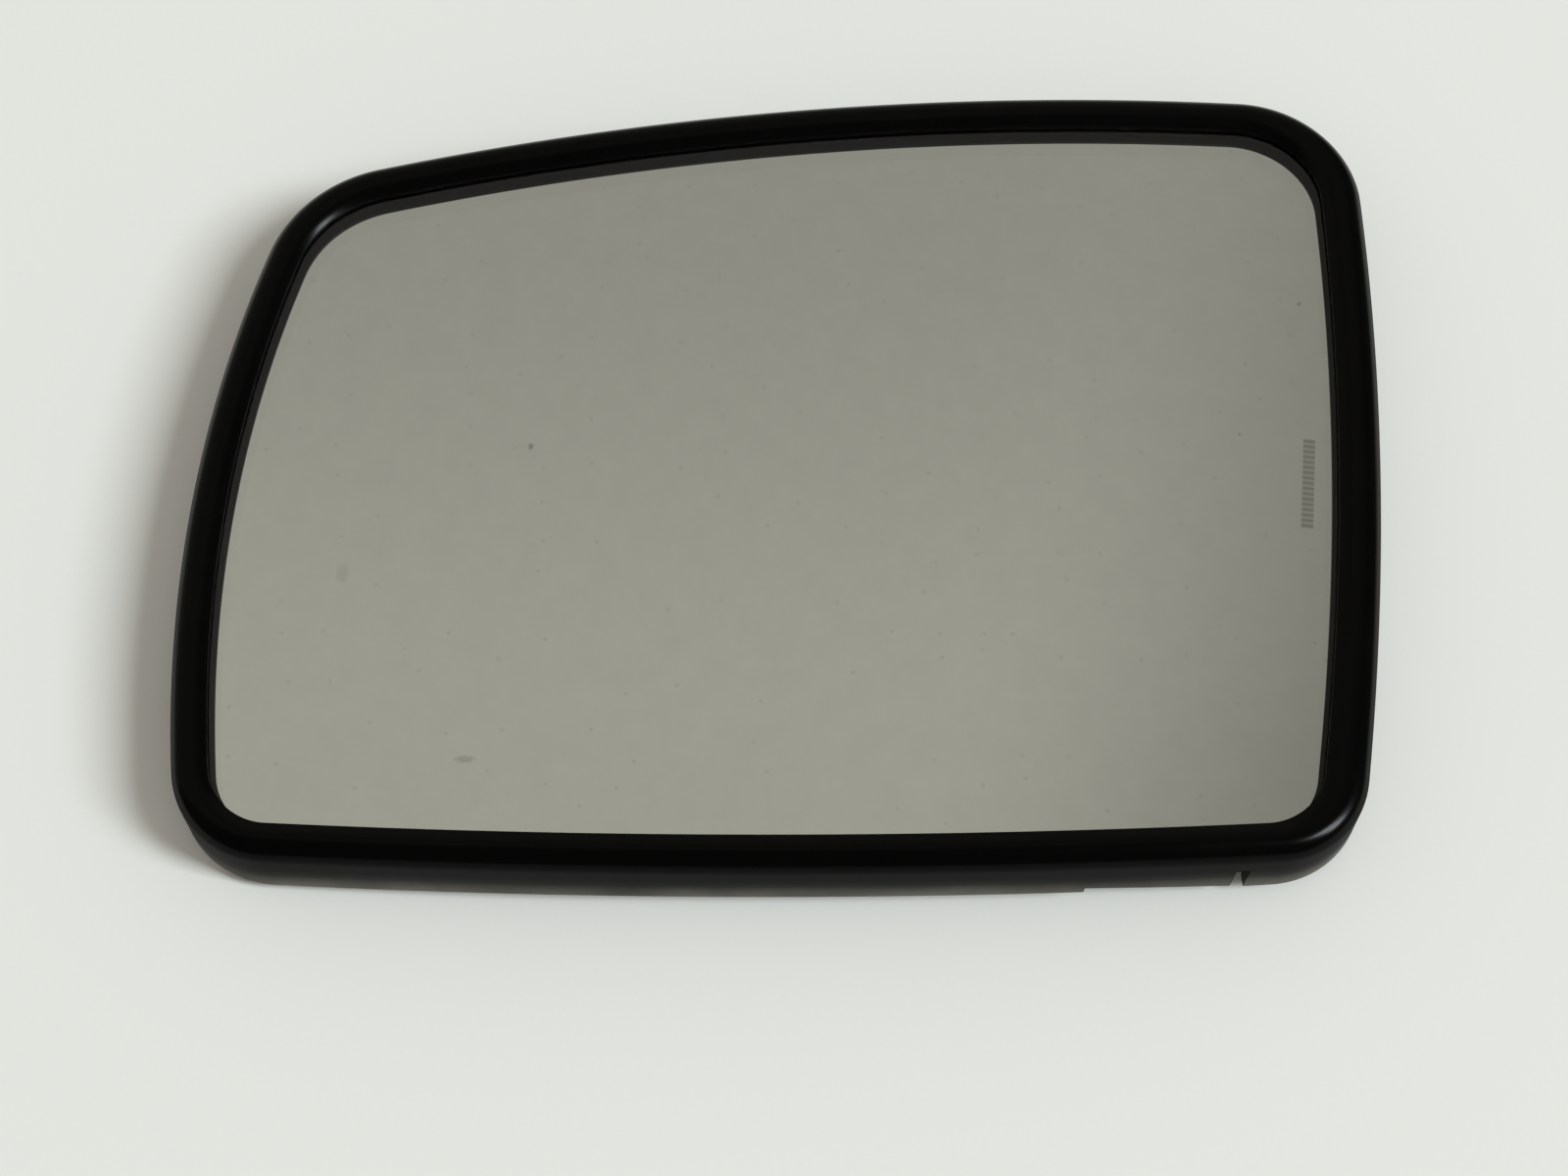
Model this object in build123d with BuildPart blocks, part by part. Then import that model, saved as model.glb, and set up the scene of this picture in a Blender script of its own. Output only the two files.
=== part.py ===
from build123d import *
import math
import os

# Left-hand door mirror glass: a convex mirror, backed by a heater film, held in one black moulding.
# Millimetres. +X points inboard, +Y is up on the car, +Z is the way the mirror faces.
# The origin is on the actuator axis, in the plane of the clip finger tips that the unit lies on.

# Outline of the rim: each side is an arc, set by the direction it faces in degrees,
# its distance from the origin in that direction, and its radius
lower_side_angle = -89.85
lower_side_reach = 73.2
lower_side_radius = 1150.0
inboard_side_angle = -5.5
inboard_side_reach = 97.9
inboard_side_radius = 615.0
upper_side_angle = 96.5
upper_side_reach = 69.3
upper_side_radius = 670.0
outboard_side_angle = 169.8
outboard_side_reach = 98.4
outboard_side_radius = 242.0
lower_outboard_corner = 17.0
lower_inboard_corner = 16.0
upper_inboard_corner = 20.5
upper_outboard_corner = 24.0

# Front bead: its width on each side, its height over the glass and its rounding. Its inner slope is
# an arc that leaves the crest at a slight angle and ends on an upright land over the glass
lower_bead_width = 5.8
inboard_bead_width = 7.1
upper_bead_width = 6.6
outboard_bead_width = 6.0
opening_lower_outboard_corner = 10.8
opening_lower_inboard_corner = 10.8
opening_upper_inboard_corner = 14.7
opening_upper_outboard_corner = 18.5
bead_height = 2.0
bead_outer_round = 3.4
bead_inner_round = 4.6
bead_inner_start = 10.0
lip_land = 0.6

# Layers, front to back, measured along the radius of the convex glass; the seat gap between them
# is what the adhesive takes up
glass_curve = 1400.0
glass_thickness = 3.0
heater_thickness = 0.5
seat_gap = 0.1
plate_thickness = 2.0
holder_depth = 12.2

# Holder walls. The draft is measured from the glass's own normal, and leaves the skirt a slight flare.
# A section of the rim reaches inwards by a share of the tightest corner's radius
skirt_wall = 2.2
skirt_draft = 6.0
section_share = 0.8
glass_clearance = 0.4
heater_margin = 4.0

# Ribs behind the plate
rib_count = 8
rib_wall = 1.5
rib_height = 3.0
hoop_rib_radius = 46.0

# Clip ring that snaps on the actuator, and the collar that centres it
finger_count = 8
finger_length = 11.5
finger_wall = 2.0
finger_gap = 5.0
finger_root = 1.5
clip_radius = 30.0
hook_reach = 1.2
hook_land = 1.2
hook_catch = 0.6
hook_lead = 1.4
tip_width = 1.2
collar_bore = 8.0
collar_wall = 1.8
collar_height = 4.0

# Cut-outs of the lower skirt: a wedge-shaped notch that runs out at a slit, set back from the inboard side
notch_setback = 52.2
notch_start = inboard_side_reach - notch_setback
notch_length = 23.3
notch_depth = 1.6
notch_end_depth = 0.4
slit_width = 2.2
slit_depth = 6.0
skirt_cut_width = 18.0

# Terminal window and the heater's two blade terminals
window_x = 58.0
window_width = 14.0
window_length = 24.0
window_corner = 2.0
window_frame_wall = 1.2
window_frame_height = 2.0
terminal_spacing = 12.0
blade_width = 6.3
blade_thickness = 0.8
blade_length = 8.0
blade_bend = 1.0
blade_tip_chamfer = 1.2
blade_hole = 0.9
foot_length = 7.0
foot_bond = 0.05
clinch_setback = 4.5
clinch_radius = 2.0
clinch_height = 0.5

# How deep walls are sunk where they join in one moulding
root_overlap = 0.5

# Radii of the concentric layers
bead_crest = glass_curve + bead_height
lip_under = glass_curve + seat_gap
glass_back = glass_curve - glass_thickness
heater_front = glass_back - seat_gap
heater_back = heater_front - heater_thickness
plate_front = heater_back - seat_gap
plate_back = plate_front - plate_thickness
skirt_edge = bead_crest - holder_depth
plate_back_z = finger_length
curve_centre = Vector(0, 0, plate_back_z - plate_back)

# Long enough to reach right through the part from the origin's plane
through = 2 * (finger_length + holder_depth)

sides = [
    (lower_side_angle, lower_side_reach, lower_side_radius),
    (inboard_side_angle, inboard_side_reach, inboard_side_radius),
    (upper_side_angle, upper_side_reach, upper_side_radius),
    (outboard_side_angle, outboard_side_reach, outboard_side_radius),
]
corner_radii = [lower_outboard_corner, lower_inboard_corner, upper_inboard_corner, upper_outboard_corner]
bead_widths = [lower_bead_width, inboard_bead_width, upper_bead_width, outboard_bead_width]
opening_radii = [
    opening_lower_outboard_corner,
    opening_lower_inboard_corner,
    opening_upper_inboard_corner,
    opening_upper_outboard_corner,
]


# Four arcs meet in four corners: the region inside all four discs, with its corners rounded
def rim_outline(insets, radii):
    far_out = inboard_side_reach + upper_side_reach
    corner_ways = [(-far_out, -far_out), (far_out, -far_out), (far_out, far_out), (-far_out, far_out)]
    with BuildSketch() as outline:
        for number, (angle, reach, radius) in enumerate(sides):
            turn = math.radians(angle)
            setback = reach - radius
            with Locations((setback * math.cos(turn), setback * math.sin(turn))):
                Circle(radius - insets[number], mode=Mode.INTERSECT if number else Mode.ADD)
        for way, radius in zip(corner_ways, radii):
            fillet(outline.vertices().sort_by_distance(way)[0], radius)
    return outline.sketch


# The same inset on every side keeps the corners concentric
def inset_outline(inset):
    return rim_outline([inset] * len(sides), [radius - inset for radius in corner_radii])


# A plan shape cut to a layer between two spheres that share the glass's centre of curvature
def curved_layer(plan, front_radius, back_radius):
    with BuildPart() as layer:
        extrude(plan, amount=through, both=True)
        with Locations(curve_centre):
            Sphere(front_radius, rotation=(0, 90, 0), mode=Mode.INTERSECT)
            Sphere(back_radius, rotation=(0, 90, 0), mode=Mode.SUBTRACT)
    return layer.part


# A side of the outline laid on the crest sphere: a circle there is set by its axis, which runs through
# the centre of curvature, and by its spread, the angle between that axis and the circle
def side_circle(angle, reach, radius):
    polar = math.asin(reach / bead_crest)
    lean = math.atan((radius / bead_crest - math.sin(polar)) / math.cos(polar))
    turn = math.radians(angle)
    axis = Vector(-math.sin(lean) * math.cos(turn), -math.sin(lean) * math.sin(turn), math.cos(lean))
    return axis, polar + lean


# The rounded corner between two sides: the circle of its radius that touches both from inside
def corner_circle(first, second, radius):
    spread = math.asin(radius / bead_crest)
    first_cosine = math.cos(first[1] - spread)
    second_cosine = math.cos(second[1] - spread)
    shared = first[0].dot(second[0])
    first_share = (first_cosine - shared * second_cosine) / (1 - shared**2)
    second_share = (second_cosine - shared * first_cosine) / (1 - shared**2)
    level = first[0] * first_share + second[0] * second_share
    rise = first[0].cross(second[0]).normalized() * math.sqrt(1 - level.length**2)
    return max(level + rise, level - rise, key=lambda axis: axis.Z), spread


# Where a side touches a corner, as a direction from the centre of curvature
def touch_point(side, corner):
    axis, spread = side
    outwards = (corner[0] - axis * axis.dot(corner[0])).normalized()
    return axis * math.cos(spread) + outwards * math.sin(spread)


# The rounded outline on the crest sphere as eight arcs in turn: axis, start and end of each
def rim_arcs(insets, radii):
    circles = []
    for (angle, reach, radius), inset in zip(sides, insets):
        circles.append(side_circle(angle, reach - inset, radius - inset))
    corners = []
    for number, radius in enumerate(radii):
        corners.append(corner_circle(circles[number - 1], circles[number], radius))
    arcs = []
    for number, side in enumerate(circles):
        corner = corners[number]
        corner_start = touch_point(circles[number - 1], corner)
        side_start = touch_point(side, corner)
        side_end = touch_point(side, corners[(number + 1) % len(corners)])
        arcs.append((corner[0], corner_start, side_start))
        arcs.append((side[0], side_start, side_end))
    return arcs


# A section turned through each arc about the arc's own axis: the pieces meet in a ring without a break
def turned_ring(arcs, section):
    with BuildPart() as ring:
        for axis, start, end in arcs:
            inwards = (axis - start * axis.dot(start)).normalized()
            from_axis = (start - axis * axis.dot(start)).normalized()
            to_axis = (end - axis * axis.dot(end)).normalized()
            with BuildSketch(Plane(origin=curve_centre, x_dir=inwards, z_dir=inwards.cross(start))):
                add(section)
            revolve(
                axis=Axis(curve_centre, axis),
                revolution_arc=math.degrees(math.acos(from_axis.dot(to_axis))),
            )
    return ring.part


# A point of a section, by its distance inwards along the crest and its layer's radius
def at(inset, radius):
    turn = inset / bead_crest
    return radius * math.sin(turn), radius * math.cos(turn)


# The stretch of a layer between two insets, as an arc of a section
def layer_arc(start, end, radius):
    ThreePointArc(at(start, radius), at((start + end) / 2, radius), at(end, radius))


# How far the draft has moved the skirt outwards at a layer
def draft_at(radius):
    return (bead_crest - radius) * math.tan(math.radians(skirt_draft))


# The inset of the skirt's inner face at a layer
def inner_face(radius):
    return skirt_wall - draft_at(radius)


# Height of the skirt's rear edge at a place on the lower side
def edge_height(x):
    return curve_centre.Z + math.sqrt(skirt_edge**2 - x**2 - lower_side_reach**2)


# A plane on the heater film's back, facing backwards, square to the film
def film_plane(x, y):
    outward = Vector(x, y, math.sqrt(heater_back**2 - x**2 - y**2))
    return Plane(origin=outward + curve_centre, x_dir=(1, 0, 0), z_dir=-outward)


# Plan shapes of the ribs, the window frame and the cuts
with BuildSketch() as rib_plan:
    with PolarLocations(clip_radius + finger_wall / 2, rib_count, start_angle=180 / rib_count):
        Rectangle(2 * inboard_side_reach, rib_wall, align=(Align.MIN, Align.CENTER))
    Circle(hoop_rib_radius + rib_wall / 2)
    Circle(hoop_rib_radius - rib_wall / 2, mode=Mode.SUBTRACT)
    with PolarLocations(clip_radius + finger_wall / 2, rib_count, start_angle=180 / rib_count):
        Rectangle(hoop_rib_radius - clip_radius, rib_wall, align=(Align.MIN, Align.CENTER))
    add(inset_outline(skirt_wall / 2), mode=Mode.INTERSECT)

with BuildSketch() as window_plan:
    with Locations((window_x, 0)):
        RectangleRounded(window_width, window_length, window_corner)

with BuildSketch() as window_frame_plan:
    with Locations((window_x, 0)):
        RectangleRounded(
            window_width + 2 * window_frame_wall,
            window_length + 2 * window_frame_wall,
            window_corner + window_frame_wall,
        )

# Slots through the plate in front of each hook, which the mould needs to form the hook's catch face
with BuildSketch() as hook_slot_plan:
    Circle(clip_radius)
    Circle(clip_radius - hook_reach, mode=Mode.SUBTRACT)
    with PolarLocations(clip_radius, finger_count, start_angle=180 / finger_count):
        Rectangle(2 * finger_wall, 2 * finger_gap, mode=Mode.SUBTRACT)

notch_end = notch_start + notch_length
with BuildSketch() as slit_plan:
    with Locations((notch_end, -lower_side_reach)):
        Rectangle(slit_width, skirt_cut_width, align=(Align.MIN, Align.CENTER))

# Section of the rim: the skirt, and the bead with its lip over the pocket for the glass
rim_reach = section_share * min(corner_radii)
with BuildSketch() as rim_section:
    with BuildLine():
        Line(at(-draft_at(skirt_edge), skirt_edge), at(0, bead_crest))
        layer_arc(0, rim_reach, bead_crest)
        Line(at(rim_reach, bead_crest), at(rim_reach, lip_under))
        layer_arc(rim_reach, inner_face(lip_under), lip_under)
        Line(at(inner_face(lip_under), lip_under), at(inner_face(skirt_edge), skirt_edge))
        layer_arc(inner_face(skirt_edge), -draft_at(skirt_edge), skirt_edge)
    make_face()
    fillet(rim_section.vertices().sort_by_distance(at(0, bead_crest))[0], bead_outer_round)

# Section of what is cut from the lip to open it over the glass, with the bead's inner slope
opening_reach = section_share * min(opening_radii)
slope_start = math.radians(bead_inner_start)
slope_end = math.acos(math.cos(slope_start) - (bead_crest - lip_under - lip_land) / bead_inner_round)
slope_x = -bead_inner_round * math.sin(slope_end)
slope_y = bead_crest - bead_inner_round * math.cos(slope_start)
with BuildSketch() as opening_section:
    with BuildLine():
        slope = CenterArc(
            (slope_x, slope_y),
            bead_inner_round,
            90 - math.degrees(slope_end),
            math.degrees(slope_end - slope_start),
        )
        Polyline(
            slope @ 1,
            ((slope @ 1).X, bead_crest + bead_height),
            (opening_reach, bead_crest + bead_height),
            (opening_reach, glass_back),
            (0, glass_back),
            slope @ 0,
        )
    make_face()

# Solids that the holder is made from
rim = turned_ring(rim_arcs([0] * len(sides), corner_radii), rim_section.sketch)
opening_cut = turned_ring(rim_arcs(bead_widths, opening_radii), opening_section.sketch)
plate = curved_layer(inset_outline(skirt_wall / 2), plate_front, plate_back)
ribs = curved_layer(rib_plan.sketch, plate_back + root_overlap, plate_back - rib_height)
window_frame = curved_layer(
    window_frame_plan.sketch, plate_back + root_overlap, plate_back - window_frame_height
)
slit = curved_layer(slit_plan.sketch, skirt_edge + slit_depth, skirt_edge - holder_depth)

# Clip ring: one revolved wall with an inward hook, cut into spring fingers
with BuildPart() as clip_ring:
    with BuildSketch(Plane.XZ) as finger_section:
        with BuildLine():
            hook_radius = clip_radius - hook_reach
            Polyline(
                (clip_radius, plate_back_z + root_overlap),
                (clip_radius + finger_wall, plate_back_z + root_overlap),
                (clip_radius + finger_wall, 0),
                (clip_radius + finger_wall - tip_width, 0),
                (hook_radius, hook_lead),
                (hook_radius, hook_lead + hook_land),
                (clip_radius, hook_lead + hook_land + hook_catch),
                close=True,
            )
        make_face()
    revolve(axis=Axis.Z)
    with BuildSketch() as finger_gaps:
        with PolarLocations(clip_radius, finger_count, start_angle=180 / finger_count):
            Rectangle(4 * finger_wall, finger_gap)
    extrude(amount=finger_length - finger_root, mode=Mode.SUBTRACT)

with BuildPart() as notch:
    with BuildSketch(Plane.XZ.offset(lower_side_reach)):
        with BuildLine():
            Polyline(
                (notch_start, -holder_depth),
                (notch_end, -holder_depth),
                (notch_end, edge_height(notch_end) + notch_end_depth),
                (notch_start, edge_height(notch_start) + notch_depth),
                close=True,
            )
        make_face()
    extrude(amount=skirt_cut_width / 2, both=True)

with BuildPart() as mirror_holder:
    add(rim)
    add(opening_cut, mode=Mode.SUBTRACT)
    add(plate)
    add(ribs)
    add(window_frame)
    add(clip_ring.part)
    with BuildSketch(Plane.XY.offset(plate_back_z + root_overlap)):
        Circle(collar_bore + collar_wall)
    extrude(amount=-(collar_height + root_overlap))
    with BuildSketch(Plane.XY.offset(plate_back_z)):
        Circle(collar_bore)
    extrude(amount=-collar_height, mode=Mode.SUBTRACT)
    extrude(hook_slot_plan.sketch, amount=through, mode=Mode.SUBTRACT)
    extrude(window_plan.sketch, amount=through, mode=Mode.SUBTRACT)
    add(notch.part, mode=Mode.SUBTRACT)
    add(slit, mode=Mode.SUBTRACT)

glass_inset = skirt_wall + glass_clearance
with BuildPart() as mirror_glass:
    add(curved_layer(inset_outline(glass_inset), glass_curve, glass_back))

with BuildPart() as heater_pad:
    add(curved_layer(inset_outline(glass_inset + heater_margin), heater_front, heater_back))

# Blade terminal in its own frame: the foot lies on the film, fastened by the clinch button formed in it,
# and the blade stands up along +Z
with BuildPart() as blade:
    foot_level = foot_bond + blade_thickness / 2
    with BuildSketch(Plane.XZ):
        with BuildLine():
            FilletPolyline(
                (foot_length, foot_level),
                (0, foot_level),
                (0, foot_level + blade_length),
                radius=blade_bend,
            )
        trace(line_width=blade_thickness)
    extrude(amount=blade_width / 2, both=True)
    tip_edges = blade.edges().group_by(Axis.Z)[-1].filter_by(Axis.X)
    chamfer(tip_edges, blade_tip_chamfer)
    with BuildSketch(Plane.YZ):
        with Locations((0, foot_level + blade_length / 2)):
            Circle(blade_hole)
    extrude(amount=blade_thickness, both=True, mode=Mode.SUBTRACT)
    with BuildSketch(Plane.XY.offset(foot_bond + blade_thickness)):
        with Locations((clinch_setback, 0)):
            Circle(clinch_radius)
    extrude(amount=clinch_height)

blade_x = window_x - foot_length / 2

with BuildPart() as terminal_upper:
    with Locations(film_plane(blade_x, terminal_spacing / 2)):
        add(blade.part)

with BuildPart() as terminal_lower:
    with Locations(film_plane(blade_x, -terminal_spacing / 2)):
        add(blade.part)

os.makedirs("parts", exist_ok=True)

mirror_holder.part.label = "mirror_holder"
export_step(mirror_holder.part, "parts/mirror_holder.step")
mirror_glass.part.label = "mirror_glass"
export_step(mirror_glass.part, "parts/mirror_glass.step")
heater_pad.part.label = "heater_pad"
export_step(heater_pad.part, "parts/heater_pad.step")
terminal_upper.part.label = "terminal_upper"
export_step(terminal_upper.part, "parts/terminal_upper.step")
terminal_lower.part.label = "terminal_lower"
export_step(terminal_lower.part, "parts/terminal_lower.step")
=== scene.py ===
import bpy
import bmesh
import math
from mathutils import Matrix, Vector


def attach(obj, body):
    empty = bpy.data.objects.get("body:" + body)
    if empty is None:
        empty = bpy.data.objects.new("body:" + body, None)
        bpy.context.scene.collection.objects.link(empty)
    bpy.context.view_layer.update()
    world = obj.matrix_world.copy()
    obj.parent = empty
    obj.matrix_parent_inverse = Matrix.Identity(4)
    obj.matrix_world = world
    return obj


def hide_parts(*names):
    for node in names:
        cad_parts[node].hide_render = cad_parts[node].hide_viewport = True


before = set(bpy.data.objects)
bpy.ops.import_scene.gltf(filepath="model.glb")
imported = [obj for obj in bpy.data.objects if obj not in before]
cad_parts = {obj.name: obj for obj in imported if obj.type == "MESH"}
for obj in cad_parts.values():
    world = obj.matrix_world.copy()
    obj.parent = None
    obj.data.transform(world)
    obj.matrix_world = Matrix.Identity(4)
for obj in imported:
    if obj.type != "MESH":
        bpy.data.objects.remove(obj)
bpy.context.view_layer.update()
mm = 0.001
print("frame loaded")


def linearColour(hexText):
    channels = [int(hexText[i:i + 2], 16) / 255 for i in (1, 3, 5)]
    return [c / 12.92 if c <= 0.04045 else ((c + 0.055) / 1.055) ** 2.4 for c in channels] + [1.0]


def addNode(tree, kind, values=None, links=None, **settings):
    node = tree.nodes.new(kind)
    for name, value in settings.items():
        setattr(node, name, value)
    for socket, value in (values or {}).items():
        node.inputs[socket].default_value = value
    for socket, source in (links or {}).items():
        tree.links.new(source, node.inputs[socket])
    return node


def newMaterial(name):
    material = bpy.data.materials.new(name)
    material.use_nodes = True
    material.node_tree.nodes.clear()
    return material, material.node_tree


def placeObject(name, data):
    obj = bpy.data.objects.new(name, data)
    bpy.context.scene.collection.objects.link(obj)
    return obj


# smooth shading with hard edges where the faces turn by more than this
def shadeMesh(mesh, sharpAngle):
    mesh.shade_smooth()
    mesh.set_sharp_from_angle(angle=math.radians(sharpAngle))


def meshObject(name, verts, faces, sharpAngle, paling=None, finishes=None):
    mesh = bpy.data.meshes.new(name)
    mesh.from_pydata([tuple(v) for v in verts], [], faces)
    if paling:
        mesh.attributes.new("rearEdgePaling", "FLOAT", "POINT").data.foreach_set("value", paling)
    if finishes:
        mesh.polygons.foreach_set("material_index", finishes)
    bm = bmesh.new()
    bm.from_mesh(mesh)
    bmesh.ops.remove_doubles(bm, verts=bm.verts, dist=1e-7)
    bmesh.ops.dissolve_degenerate(bm, edges=bm.edges, dist=1e-7)
    bmesh.ops.recalc_face_normals(bm, faces=bm.faces)
    bm.to_mesh(mesh)
    bm.free()
    shadeMesh(mesh, sharpAngle)
    return placeObject(name, mesh)


# a modifier's result becomes the object's own mesh
def bakeModifiers(obj, sharpAngle):
    graph = bpy.context.evaluated_depsgraph_get()
    mesh = bpy.data.meshes.new_from_object(obj.evaluated_get(graph), depsgraph=graph)
    obj.modifiers.clear()
    old = obj.data
    obj.data = mesh
    bpy.data.meshes.remove(old)
    shadeMesh(mesh, sharpAngle)
    return obj


def joinObjects(name, pieces):
    bm = bmesh.new()
    for piece in pieces:
        bm.from_mesh(piece.data)
    mesh = bpy.data.meshes.new(name)
    bm.to_mesh(mesh)
    bm.free()
    for piece in pieces:
        bpy.data.objects.remove(piece)
    return placeObject(name, mesh)


# the outline lies on the sphere of the bead's crest; all sizes are in millimetres
outline = {
    # each side: the way it faces in degrees, reach, radius, bead width
    "sides": [
        (-89.85, 73.2, 1150, 5.8),  # lower
        (-5.5, 97.9, 615, 7.1),  # inboard
        (96.5, 69.3, 670, 6.6),  # upper
        (169.8, 98.4, 242, 6.0),  # outboard
    ],
    # the corner before the side of the same number: outer radius, opening radius
    "corners": [(17.0, 10.8), (16.0, 10.8), (20.5, 14.7), (24.0, 18.5)],
    "sideSteps": 60,
    "cornerSteps": 26,
    "halfSpan": 85,  # about half the glass's width, which turns a seam into a share
}
layers = {  # radii of the layers, which share the glass's centre of curvature
    "crest": 1402.0, "lipUnder": 1400.1, "glassFront": 1400.0, "glassBack": 1397.0,
    "plateFront": 1396.3, "plateBack": 1394.3, "skirtEdge": 1389.8,
}
plateZ = 11.5  # height of the plate's back above the fingers' tips
centreZ = plateZ - layers["plateBack"]


# side circles and corner circles of the rim or of its opening: each is (axis, spread)
def rimCircles(opening):
    circles = []
    crest = layers["crest"]
    for angle, reach, radius, width in outline["sides"]:
        inset = width if opening else 0
        polar = math.asin((reach - inset) / crest)
        lean = math.atan(((radius - inset) / crest - math.sin(polar)) / math.cos(polar))
        turn = math.radians(angle)
        flat = Vector((math.cos(turn), math.sin(turn), 0))
        circles.append((Vector((0, 0, math.cos(lean))) - flat * math.sin(lean), polar + lean))
    corners = []
    for number, radii in enumerate(outline["corners"]):
        (a, aSpread), (b, bSpread) = circles[number - 1], circles[number]
        spread = math.asin(radii[1 if opening else 0] / crest)
        p, q, g = math.cos(aSpread - spread), math.cos(bSpread - spread), a.dot(b)
        level = a * ((p - g * q) / (1 - g * g)) + b * ((q - g * p) / (1 - g * g))
        rise = a.cross(b).normalized() * math.sqrt(1 - level.length_squared)
        corners.append((max(level + rise, level - rise, key=lambda v: v.z), spread))
    return circles, corners


# where a side touches a corner
def touchPoint(side, corner):
    axis, spread = side
    away = (corner[0] - axis * axis.dot(corner[0])).normalized()
    return axis * math.cos(spread) + away * math.sin(spread)


# directions along an arc about its axis, at these shares of its sweep
def arcWays(axis, start, end, shares):
    first = (start - axis * axis.dot(start)).normalized()
    last = (end - axis * axis.dot(end)).normalized()
    sweep, square = math.acos(max(-1, min(1, first.dot(last)))), axis.cross(first)
    height, spread = axis.dot(start), math.sqrt(1 - axis.dot(start) ** 2)
    ways = []
    for share in shares:
        out = first * math.cos(sweep * share) + square * math.sin(sweep * share)
        ways.append((axis * height + out * spread, (axis * spread - out * height).normalized()))
    return ways


def evenShares(steps):
    return [k / steps for k in range(steps)]


# stations round the rim: each is (direction from the centre of curvature, direction inwards)
def rimStations(opening=False, lowerShares=None):
    circles, corners = rimCircles(opening)
    stations = []
    for number, circle in enumerate(circles):
        corner, after = corners[number], corners[(number + 1) % 4]
        shares = lowerShares if lowerShares and number == 0 else evenShares(outline["sideSteps"])
        cornerStart, sideStart = touchPoint(circles[number - 1], corner), touchPoint(circle, corner)
        stations += arcWays(corner[0], cornerStart, sideStart, evenShares(outline["cornerSteps"]))
        stations += arcWays(circle[0], sideStart, touchPoint(circle, after), shares)
    return stations


def onSection(station, inset, radius):
    way, inwards = station
    turn = inset / layers["crest"]
    place = (way * math.cos(turn) + inwards * math.sin(turn)) * radius
    return (place + Vector((0, 0, centreZ))) * mm


# rim of the holder: skirt, rounded bead and the lip over the glass
rim = {
    "draft": 6.0, "wall": 2.2, "outerRound": 3.4, "innerRound": 4.6, "innerStart": 10.0, "land": 0.6,
    "edgeRound": 0.3, "skin": 0.04,  # the skin keeps the smooth rim inside the faceted solid
    "notch": (45.7, 69.0, 1.6, 0.4),  # wedge cut from the lower edge: start, end, depth at each
    "slit": (71.2, 6.0),  # end and depth; it starts where the notch ends
    "rearEdgePaling": [0.2, 0.5, 0.8, 1.0], "palingHeight": 5.0,  # paler grey round the rear edge, fading out this far up
    "levels": (1.0, 2.6, 4.4, 6.4), "edgeSteps": 3, "outerSteps": 14, "innerSteps": 12,
}


# share of the lower side at which the rim's rear edge reaches this far inboard
def lowerShare(x):
    circles, corners = rimCircles(False)
    start, end = touchPoint(circles[0], corners[0]), touchPoint(circles[0], corners[1])
    low, high = 0.0, 1.0
    for _ in range(40):  # halving steps
        mid = (low + high) / 2
        way = arcWays(circles[0][0], start, end, [mid])[0][0]
        low, high = (mid, high) if way.x * layers["skirtEdge"] < x else (low, mid)
    return (low + high) / 2


# the lower side's stations, with two at each end of a cut-out, and the depth cut there
def lowerStations():
    notchX, notchEndX, depth, endDepth = rim["notch"]
    slitEndX, slitDepth = rim["slit"]
    start, end, slitEnd = [lowerShare(x) for x in (notchX, notchEndX, slitEndX)]
    marks = []
    for share in evenShares(outline["sideSteps"]):
        wedge = depth + (endDepth - depth) * (share - start) / (end - start)
        marks.append((share, 1, wedge if start < share < end else slitDepth if end < share < slitEnd else 0))
    for share, before, after in ((start, 0, depth), (end, endDepth, slitDepth), (slitEnd, slitDepth, 0)):
        marks += [(share, 0, before), (share, 2, after)]
    marks.sort()
    return marks


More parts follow.
